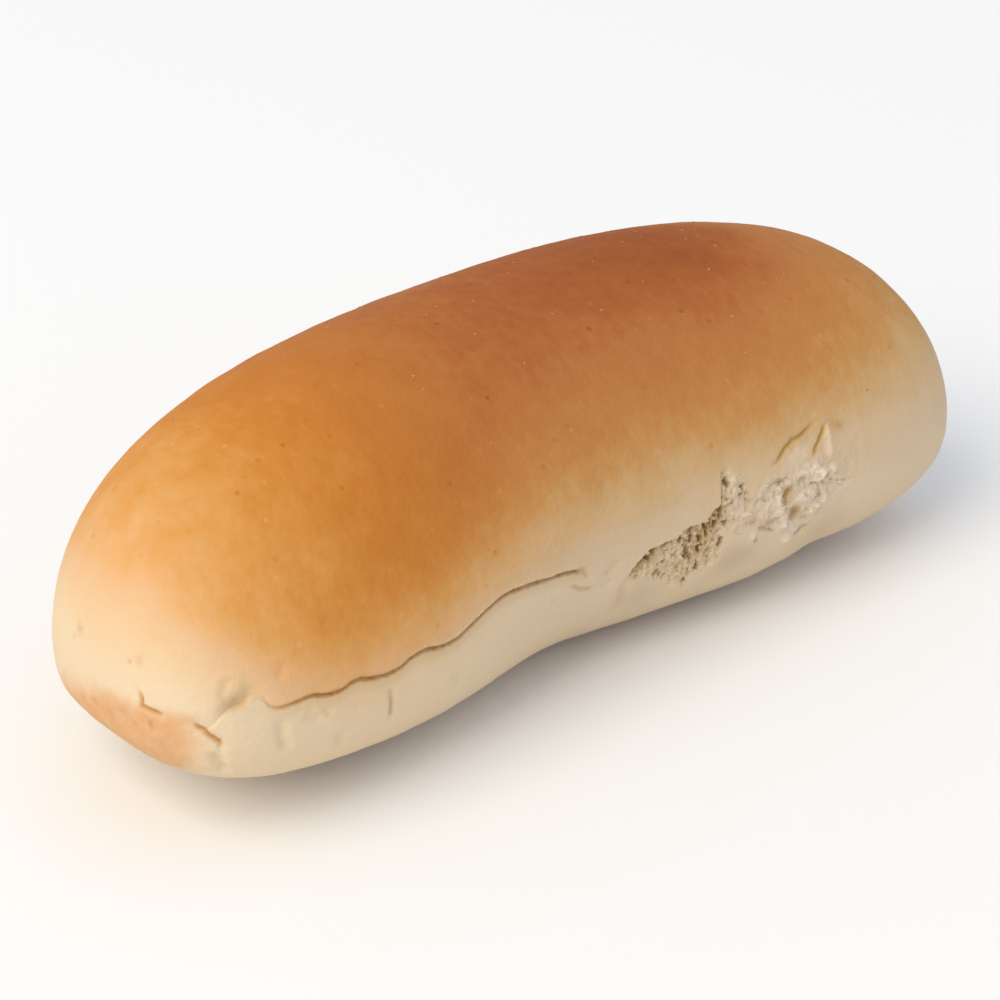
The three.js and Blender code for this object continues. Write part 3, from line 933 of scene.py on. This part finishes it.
sunk = left * (SUNK + torn_form.bumps(below_top, [SUNK_UNDER_TOP]))
crumb = (grain + rough * NEAR_ROUGH) * left + (lumps + rough * FAR_ROUGH) * right - sunk
framed = torn_form.ramp(torn_inset(torn_form, x, z), 0.0, BORDER_BLEND)
proud = framed * (BORDER_SUNK + SKIN_PROUD) - BORDER_SUNK
puckers = torn_form.noise(flat, PUCKER_SIZE, detail=3.0) * torn_form.patches(x, z, PUCKERS)
height = skin_relief + proud + puckers
height = height + (crumb - height) * torn + clumps - hollows
height = height - gash * GASH_DEPTH - large * LARGE_DEPTH - small * SMALL_DEPTH
# Painted shade darkens the crumb's low spots, crevices, hollows and the seam between the lobes; in the dark
# stretches it is partly the crumb's own browner colour. Raised spots are painted paler, partly painted
# highlight and partly the crumb's own whiteness.
low = torn_form.ramp(-rough, *LOW) * left * torn
high = torn_form.ramp(rough, *HIGH) * left * torn
pale = torn_form.ramp(lumps, *PALE) * torn_form.ramp(x, *PALE_ALONG) * torn
crevice = torn_form.ramp(-lumps, *CREVICE) * CREVICE_SHADE + torn_form.bumps(x, [SEAM_SHADE])
shade = (near_dark * NEAR_DARK_SHADE + dark * DARK_SHADE) * torn
shade = low * LOW_SHADE + shade + hollows + crevice * right * torn
white = clumps + pale * PALE_WHITE + high * HIGH_WHITE
loose = torn * torn_form.kept("outer") * (1.0 - dark * LOOSE_DARK)
loose = loose * (LOOSE_NEAR + right * (1.0 - LOOSE_NEAR))
sheet = torn_form.keep(sheet, "torn", torn)
sheet = torn_form.keep(sheet, "pit", torn_form.least(pit, 1.0))
sheet = torn_form.keep(sheet, "shade", torn_form.least(shade, 1.0))
sheet = torn_form.keep(sheet, "white", torn_form.least(white, 1.0))
sheet = torn_form.keep(sheet, "right", right)
sheet = torn_form.keep(sheet, "loose", loose)
sheet = torn_form.swell(sheet, height * torn_form.kept("outer"))

CRUMB = (0.70, 0.545, 0.36, 1.0)
FAR_CRUMB = (0.71, 0.575, 0.43, 1.0)
WHITE_CRUMB = (0.80, 0.66, 0.50, 1.0)
# Pits, gashes and open cells are painted dark brown as shade in the holes.
PIT_PAINTED_SHADE = (0.25, 0.12, 0.022, 1.0)
OCHRE_CRUMB = (0.47, 0.30, 0.115, 1.0)
PALE_SKIN = (0.76, 0.61, 0.43, 1.0)
PALE_FLAPS = [(34.0, 25.6, 3.2, 1.7, 0.65), (40.0, 25.4, 1.2, 2.2, 0.35)]
# Painted shade on the skin below and beside the torn crumb: colour, then along, up, spread both ways,
# strength
FOOT_SHADE = (0.50, 0.37, 0.23, 1.0)
FOOT_SHADES = [(22.0, 12.4, 4.5, 2.6, 0.55), (5.0, 12.0, 4.0, 3.0, 0.35), (40.0, 10.5, 6.0, 3.0, 0.35)]
CREASE_CLEAR = 1.2
# Specks in the crumb, dark or pale: how wide, from which height on, how strong
SPECK_SIZE = 0.5
SPECK = (0.04, 0.25)
SPECK_DARK = 0.8
SPECK_PALE = 0.7
SPECK_RAISED = 1.5
FAR_SPECKS_LESS = 0.45
CRUMB_ROUGHNESS = 0.75
CRUMB_SHINE = 0.1

bare = Finish("bare_crumb")
x, y, z = bare.parts(bare.place)
# Painted shade on the skin at the foot of the torn flank.
skin_colour = bare.mix(bare.patches(x, z, FOOT_SHADES), crust_colour(bare), FOOT_SHADE)
off_crease = 1.0 - bare.bell(bare.kept("crease_gap"), 0.0, CREASE_CLEAR)
skin_colour = bare.mix(bare.patches(x, z, PALE_FLAPS) * off_crease, skin_colour, PALE_SKIN)
colour = bare.mix(bare.kept("right"), CRUMB, FAR_CRUMB)
colour = bare.mix(bare.kept("torn"), skin_colour, colour)
# Raised crumb is painted paler, partly its own whiteness; low spots, crevices and hollows get painted
# shade.
colour = bare.mix(bare.kept("white"), colour, WHITE_CRUMB)
colour = bare.mix(bare.kept("shade"), colour, OCHRE_CRUMB)
speck = bare.noise(bare.place, SPECK_SIZE, detail=3.0, roughness=0.7)
specked = bare.kept("torn") * (1.0 - bare.kept("right") * FAR_SPECKS_LESS)
colour = bare.mix(bare.ramp(-speck, *SPECK) * specked * SPECK_DARK, colour, OCHRE_CRUMB)
colour = bare.mix(bare.ramp(speck, *SPECK) * specked * SPECK_PALE, colour, WHITE_CRUMB)
# Painted shade in the pits, gashes and open cells.
colour = bare.mix(bare.kept("pit"), colour, PIT_PAINTED_SHADE)
pores = bare.noise(bare.place, PORES, detail=3.0) + speck * specked * SPECK_RAISED
bare_crumb = bare.surface(
    Base_Color=colour,
    Roughness=CRUMB_ROUGHNESS,
    Specular_IOR_Level=CRUMB_SHINE,
    Normal=bare.bump(pores, PORE_DEPTH),
)

torn_flank = torn_form.grow(sheet, bare_crumb)
for lines in (crease_object, dent_object, gash_object):
    bpy.data.objects.remove(lines)
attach(torn_flank, "root")

# Crumb shreds
# Fibres and flakes of bare crumb that the tear left standing on the flank, each a torn cell wall.
# Small flattened balls are scattered over the bare patch, each turned its own way, and bent.

SHREDS_PER_SQUARE_MM = 0.4
SHRED_LEAST = (0.2, 0.14, 0.05)
SHRED_MOST = (0.6, 0.4, 0.12)
SHRED_BEND = (0.35, 0.35)
SHRED_TILT = 0.5
SHRED_SEED = 11
NEAR_FLUFF = (0.70, 0.555, 0.375, 1.0)
FAR_FLUFF = (0.64, 0.51, 0.36, 1.0)
FAR_FLUFF_FROM = (18.0, 22.0)
FLUFF_ROUGHNESS = 0.8


def strewn(form, bed, density, least, most, tilt, seed):
    """Small flattened balls that lie on a bed at random, each with its own size and turn."""
    sockets = {"Mesh": bed, "Density": density, "Seed": seed}
    spread = form.node("GeometryNodeDistributePointsOnFaces", sockets)
    turn = form.random((-tilt, -tilt, -math.pi), (tilt, tilt, math.pi), seed + 1)
    turn = form.field("FunctionNodeEulerToRotation", {0: turn})
    lying = Field(form, spread.outputs["Rotation"])
    lying = form.field("FunctionNodeRotateRotation", {0: lying, 1: turn}, rotation_space="LOCAL")
    ball = form.field("GeometryNodeMeshIcoSphere", {"Radius": 1.0, "Subdivisions": 2})
    balls = form.field("GeometryNodeInstanceOnPoints", {
        "Points": Field(form, spread.outputs["Points"]),
        "Instance": ball,
        "Rotation": lying,
        "Scale": form.random(least, most, seed + 2),
    })
    return form.field("GeometryNodeRealizeInstances", {"Geometry": balls})


shred_form = Former("crumb_shreds")
bed = shred_form.borrow("Bed", torn_flank)
density = shred_form.size("Shreds per square mm", SHREDS_PER_SQUARE_MM) * shred_form.kept("loose")
shreds = strewn(shred_form, bed, density, SHRED_LEAST, SHRED_MOST, SHRED_TILT, SHRED_SEED)
shreds = shred_form.move(shreds, shred_form.drift(shred_form.position(), *SHRED_BEND))

fluff = Finish("crumb_fluff")
x, y, z = fluff.parts(fluff.place)
crumb_fluff = fluff.surface(
    Base_Color=fluff.mix(fluff.ramp(x, *FAR_FLUFF_FROM), NEAR_FLUFF, FAR_FLUFF),
    Roughness=FLUFF_ROUGHNESS,
    Specular_IOR_Level=CRUMB_SHINE,
)

crumb_shreds = shred_form.grow(shreds, crumb_fluff)
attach(crumb_shreds, "root")

# Crust flecks
# Pale specks of dry dough and flour that baked onto the dome, under a millimetre wide.
# Small flattened balls are scattered over the browned skin and lie half sunk in it.

FLECKS_PER_SQUARE_MM = 0.015
FLECK_LEAST = (0.12, 0.09, 0.05)
FLECK_MOST = (0.38, 0.24, 0.1)
FLECK_FROM = (26.0, 38.0)
FLECK_ALONG = (-70.0, 20.0)
FLECK_TILT = 0.2
FLECK_SEED = 5
FLECK_PALE = (0.47, 0.195, 0.072, 1.0)
FLECK_CREAM = (0.51, 0.25, 0.105, 1.0)
CREAM_SHARE = 0.5
CREAM_UNEVEN = (4.0, 2.0)
FLECK_ROUGHNESS = 0.7

fleck_form = Former("crust_flecks")
bed = fleck_form.borrow("Bed", loaf)
x, y, z = fleck_form.parts(fleck_form.position())
density = fleck_form.ramp(z, *FLECK_FROM) * fleck_form.ramp(x, *FLECK_ALONG)
density = density * fleck_form.size("Flecks per square mm", FLECKS_PER_SQUARE_MM)
flecks = strewn(fleck_form, bed, density, FLECK_LEAST, FLECK_MOST, FLECK_TILT, FLECK_SEED)

flour = Finish("fleck_dough")
creamy = flour.ripple(flour.place, *CREAM_UNEVEN) + CREAM_SHARE
fleck_dough = flour.surface(
    Base_Color=flour.mix(creamy, FLECK_PALE, FLECK_CREAM),
    Roughness=FLECK_ROUGHNESS,
    Specular_IOR_Level=CRUMB_SHINE,
)

crust_flecks = fleck_form.grow(flecks, fleck_dough)
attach(crust_flecks, "root")

# The floor
# A plain sheet of matt, pale paper for the roll to lie on.
# It is one square face, so wide that its edges stay out of sight.

FLOOR_REACH = 12.0
FLOOR_PALE = (0.9, 0.9, 0.9, 1.0)
FLOOR_ROUGHNESS = 0.7

corners = [(-1, -1), (1, -1), (1, 1), (-1, 1)]
floor_mesh = bpy.data.meshes.new("floor")
floor_mesh.from_pydata([(x * FLOOR_REACH, y * FLOOR_REACH, 0.0) for x, y in corners], [], [(0, 1, 2, 3)])
floor = bpy.data.objects.new("floor", floor_mesh)
bpy.context.scene.collection.objects.link(floor)
paper = Finish("pale_floor")
floor_mesh.materials.append(paper.surface(Base_Color=FLOOR_PALE, Roughness=FLOOR_ROUGHNESS))

# Light
# Soft daylight from all round, and a warm lamp, wide and high over the near end.

SKY_COLOUR = (0.93, 0.98, 1.07, 1.0)
SKY_STRENGTH = 0.74
KEY_PLACE = Vector((-2.2, -0.1, 2.2))
KEY_POWER = 66.0
KEY_WIDTH = 2.4
KEY_COLOUR = (1.0, 0.9, 0.72)

world = bpy.data.worlds.new("studio")
world.use_nodes = True
sky = world.node_tree.nodes["Background"].inputs
sky["Color"].default_value = SKY_COLOUR
sky["Strength"].default_value = SKY_STRENGTH
bpy.context.scene.world = world

key_data = bpy.data.lights.new("key", "AREA")
key_data.energy = KEY_POWER
key_data.size = KEY_WIDTH
key_data.color = KEY_COLOUR
key = bpy.data.objects.new("key", key_data)
bpy.context.scene.collection.objects.link(key)
key.location = KEY_PLACE
key.rotation_euler = KEY_PLACE.to_track_quat("Z", "Y").to_euler()

# Camera
# It looks down on the near end and the front flank, from a little under half a metre away.

LENS = 110.98
SENSOR = 36.0
AZIMUTH = math.radians(-42.112)
ELEVATION = math.radians(28.614)
DISTANCE = 446.911 * MM
LOOK_AT = Vector((-3.06, -7.368, 22.0)) * MM

camera_data = bpy.data.cameras.new("camera")
camera_data.lens = LENS
camera_data.sensor_width = SENSOR
camera = bpy.data.objects.new("camera", camera_data)
bpy.context.scene.collection.objects.link(camera)
back = Vector((
    math.sin(AZIMUTH) * math.cos(ELEVATION),
    -math.cos(AZIMUTH) * math.cos(ELEVATION),
    math.sin(ELEVATION),
))
camera.location = LOOK_AT + back * DISTANCE
camera.rotation_euler = back.to_track_quat("Z", "Y").to_euler()
bpy.context.scene.camera = camera
bpy.context.scene.view_settings.view_transform = "Standard"
